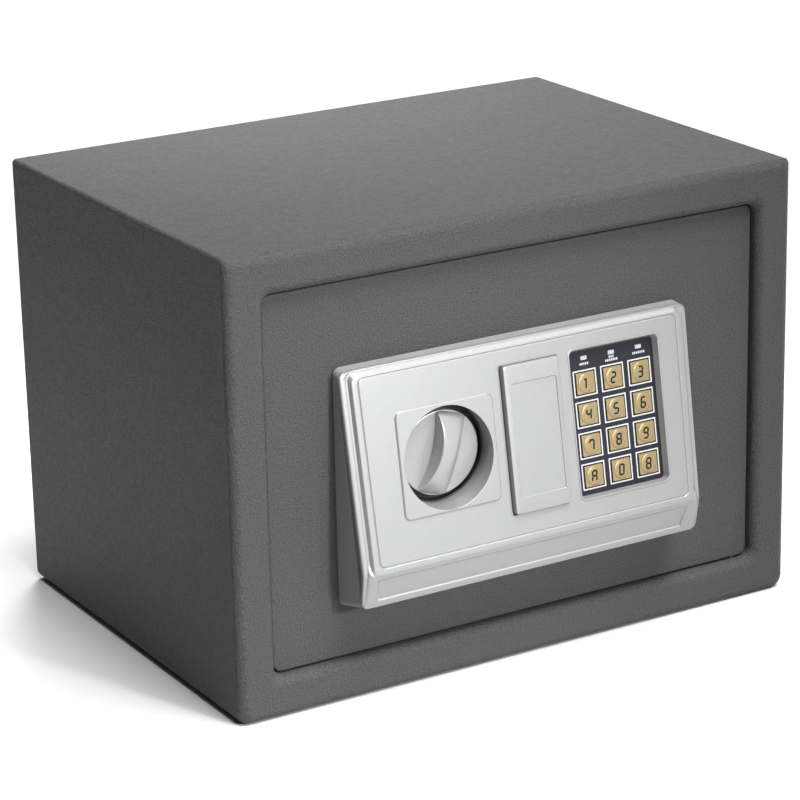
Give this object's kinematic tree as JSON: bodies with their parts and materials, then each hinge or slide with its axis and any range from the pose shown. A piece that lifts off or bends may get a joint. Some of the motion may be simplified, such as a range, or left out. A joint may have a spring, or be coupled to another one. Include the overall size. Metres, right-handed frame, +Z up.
{
  "type": "in-room safe",
  "caption": "Compact steel in-room safe with a hinged front door, a tilted electronic keypad console, a turn knob that throws live bolts, and a covered override lock.",
  "frame": {"origin": "middle of the cabinet base, on the surface that the safe stands on", "axes": "+X to the right seen from the front, -Y out of the door, +Z up"},
  "size_m": [0.35, 0.2701, 0.25],
  "materials": {
    "powder_coat": "fine orange-peel powder coat, satin",
    "silver_paint": "silver paint on moulded plastic, satin",
    "housing_grey": "grey moulded plastic, fine grain",
    "keypad_label": "printed dark label, satin",
    "gold_key": "gold-painted key, satin",
    "lens": "clear light pipe",
    "steel": "bright plated steel",
    "zinc": "zinc-plated pressing",
    "brass": "turned brass",
    "black_plastic": "black moulded plastic",
    "circuit_board": "green solder mask",
    "rubber": "moulded silicone",
    "red_plastic": "red moulded plastic",
    "cell_wrap": "printed sleeve",
    "carpet": "needle-punched carpet"
  },
  "bodies": {
    "cabinet": {"body_wrap": "powder_coat", "back_panel": "powder_coat", "front_frame": "powder_coat", "floor_mat": "carpet"},
    "door": {"door_plate": "powder_coat", "hinge_pin_upper": "steel", "hinge_pin_lower": "steel", "hinge_block_upper": "powder_coat", "hinge_block_lower": "powder_coat", "console_base": "housing_grey", "console_front": "silver_paint", "keypad_plate": "keypad_label", "keypad_membrane": "rubber", "circuit_board": "circuit_board", "led_left": "lens", "led_middle": "lens", "led_right": "lens", "lock_chassis": "zinc", "override_lock": "brass", "lock_nut": "brass", "solenoid_body": "black_plastic", "inner_cover": "powder_coat", "cover_screw_1": "steel", "cover_screw_2": "steel", "cover_screw_3": "steel", "cover_screw_4": "steel", "battery_box": "black_plastic", "battery_1": "cell_wrap", "battery_2": "cell_wrap", "battery_3": "cell_wrap", "battery_4": "cell_wrap", "reset_switch": "black_plastic"},
    "knob": {"turn_knob": "silver_paint", "knob_shaft": "steel", "knob_cam": "zinc"},
    "bolts": {"bolt_carriage": "zinc", "bolt_lower": "steel", "bolt_upper": "steel"},
    "key_cover": {"key_cover": "silver_paint"},
    "override": {"override_plug": "brass", "override_cam": "zinc"},
    "plunger": {"solenoid_plunger": "steel", "plunger_spring": "steel"},
    "battery_cover": {"battery_cover": "black_plastic"},
    "reset": {"reset_button": "red_plastic"},
    "key_1": {"key_1": "gold_key"},
    "key_2": {"key_2": "gold_key"},
    "key_3": {"key_3": "gold_key"},
    "key_4": {"key_4": "gold_key"},
    "key_5": {"key_5": "gold_key"},
    "key_6": {"key_6": "gold_key"},
    "key_7": {"key_7": "gold_key"},
    "key_8": {"key_8": "gold_key"},
    "key_9": {"key_9": "gold_key"},
    "key_a": {"key_a": "gold_key"},
    "key_0": {"key_0": "gold_key"},
    "key_b": {"key_b": "gold_key"}
  },
  "joints": [
    {"name": "door_hinge", "type": "hinge", "parent": "cabinet", "child": "door", "pos_m": [0.1438, -0.115, 0.125], "axis": [0, 0, 1], "range_deg": [0, 100]},
    {"name": "knob_turn", "type": "hinge", "parent": "door", "child": "knob", "pos_m": [-0.0545, -0.1283, 0.1277], "axis": [0, -1, 0], "range_deg": [0, 90]},
    {"name": "bolt_slide", "type": "slide", "parent": "door", "child": "bolts", "axis": [-1, 0, 0], "range_m": [0, 0.016]},
    {"name": "key_cover_pull", "type": "slide", "parent": "door", "child": "key_cover", "axis": [0, -0.9871, 0.1603], "range_m": [0, 0.02]},
    {"name": "override_turn", "type": "hinge", "parent": "door", "child": "override", "pos_m": [0.0003, -0.1322, 0.1286], "axis": [0, 1, 0], "range_deg": [0, 90]},
    {"name": "plunger_lift", "type": "slide", "parent": "door", "child": "plunger", "axis": [0, 0, 1], "range_m": [0, 0.004], "stiffness_N_per_m": 120, "springref_m": -0.004, "deforming": ["plunger_spring"]},
    {"name": "battery_cover_pull", "type": "slide", "parent": "door", "child": "battery_cover", "axis": [0, 1, 0], "range_m": [0, 0.03]},
    {"name": "reset_press", "type": "slide", "parent": "door", "child": "reset", "axis": [0, -1, 0], "range_m": [0, 0.0015], "stiffness_N_per_m": 500, "springref_m": -0.001},
    {"name": "key_1_press", "type": "slide", "parent": "door", "child": "key_1", "axis": [0, 0.9871, -0.1603], "range_m": [0, 0.0006], "stiffness_N_per_m": 900, "springref_m": -0.0008},
    {"name": "key_2_press", "type": "slide", "parent": "door", "child": "key_2", "axis": [0, 0.9871, -0.1603], "range_m": [0, 0.0006], "stiffness_N_per_m": 900, "springref_m": -0.0008},
    {"name": "key_3_press", "type": "slide", "parent": "door", "child": "key_3", "axis": [0, 0.9871, -0.1603], "range_m": [0, 0.0006], "stiffness_N_per_m": 900, "springref_m": -0.0008},
    {"name": "key_4_press", "type": "slide", "parent": "door", "child": "key_4", "axis": [0, 0.9871, -0.1603], "range_m": [0, 0.0006], "stiffness_N_per_m": 900, "springref_m": -0.0008},
    {"name": "key_5_press", "type": "slide", "parent": "door", "child": "key_5", "axis": [0, 0.9871, -0.1603], "range_m": [0, 0.0006], "stiffness_N_per_m": 900, "springref_m": -0.0008},
    {"name": "key_6_press", "type": "slide", "parent": "door", "child": "key_6", "axis": [0, 0.9871, -0.1603], "range_m": [0, 0.0006], "stiffness_N_per_m": 900, "springref_m": -0.0008},
    {"name": "key_7_press", "type": "slide", "parent": "door", "child": "key_7", "axis": [0, 0.9871, -0.1603], "range_m": [0, 0.0006], "stiffness_N_per_m": 900, "springref_m": -0.0008},
    {"name": "key_8_press", "type": "slide", "parent": "door", "child": "key_8", "axis": [0, 0.9871, -0.1603], "range_m": [0, 0.0006], "stiffness_N_per_m": 900, "springref_m": -0.0008},
    {"name": "key_9_press", "type": "slide", "parent": "door", "child": "key_9", "axis": [0, 0.9871, -0.1603], "range_m": [0, 0.0006], "stiffness_N_per_m": 900, "springref_m": -0.0008},
    {"name": "key_a_press", "type": "slide", "parent": "door", "child": "key_a", "axis": [0, 0.9871, -0.1603], "range_m": [0, 0.0006], "stiffness_N_per_m": 900, "springref_m": -0.0008},
    {"name": "key_0_press", "type": "slide", "parent": "door", "child": "key_0", "axis": [0, 0.9871, -0.1603], "range_m": [0, 0.0006], "stiffness_N_per_m": 900, "springref_m": -0.0008},
    {"name": "key_b_press", "type": "slide", "parent": "door", "child": "key_b", "axis": [0, 0.9871, -0.1603], "range_m": [0, 0.0006], "stiffness_N_per_m": 900, "springref_m": -0.0008}
  ],
  "couplings": [
    {"joint": "knob_turn", "follows": "bolt_slide", "rad_per_m": 98.17}
  ]
}
